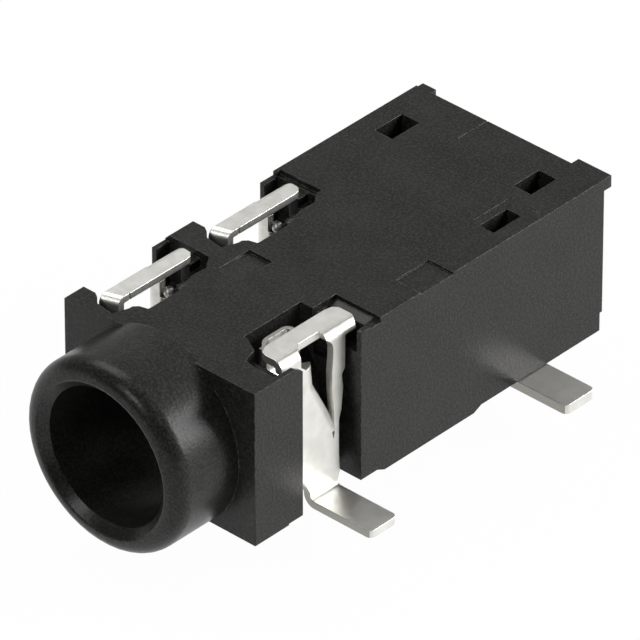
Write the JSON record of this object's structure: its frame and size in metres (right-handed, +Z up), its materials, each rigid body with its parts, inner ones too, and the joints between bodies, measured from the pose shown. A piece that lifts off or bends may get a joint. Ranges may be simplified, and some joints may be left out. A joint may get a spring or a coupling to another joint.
{
  "type": "audio jack socket",
  "caption": "Low surface-mount audio socket: dark moulded box with a round nose and bore for a round plug, bent metal contact terminals in its sides and locating posts below.",
  "frame": {"origin": "centre of the front locating post's root, in the board plane that the solder feet stand on", "axes": "+Z up from the board; +Y from the nose towards the rear face; +X to the side with two terminals whose feet are seen, right when looking along +Y; the plug goes in along +Y"},
  "size_m": [0.009, 0.0143, 0.0056],
  "materials": {
    "moulded_plastic": "glass-filled moulded plastic, charcoal, satin",
    "plated_copper_alloy": "stamped copper alloy sheet with bright tin or silver plating"
  },
  "bodies": {
    "root": {"housing": "moulded_plastic", "front_right_terminal": "plated_copper_alloy", "front_left_terminal": "plated_copper_alloy", "middle_left_terminal": "plated_copper_alloy", "rear_right_terminal": "plated_copper_alloy"}
  },
  "joints": []
}
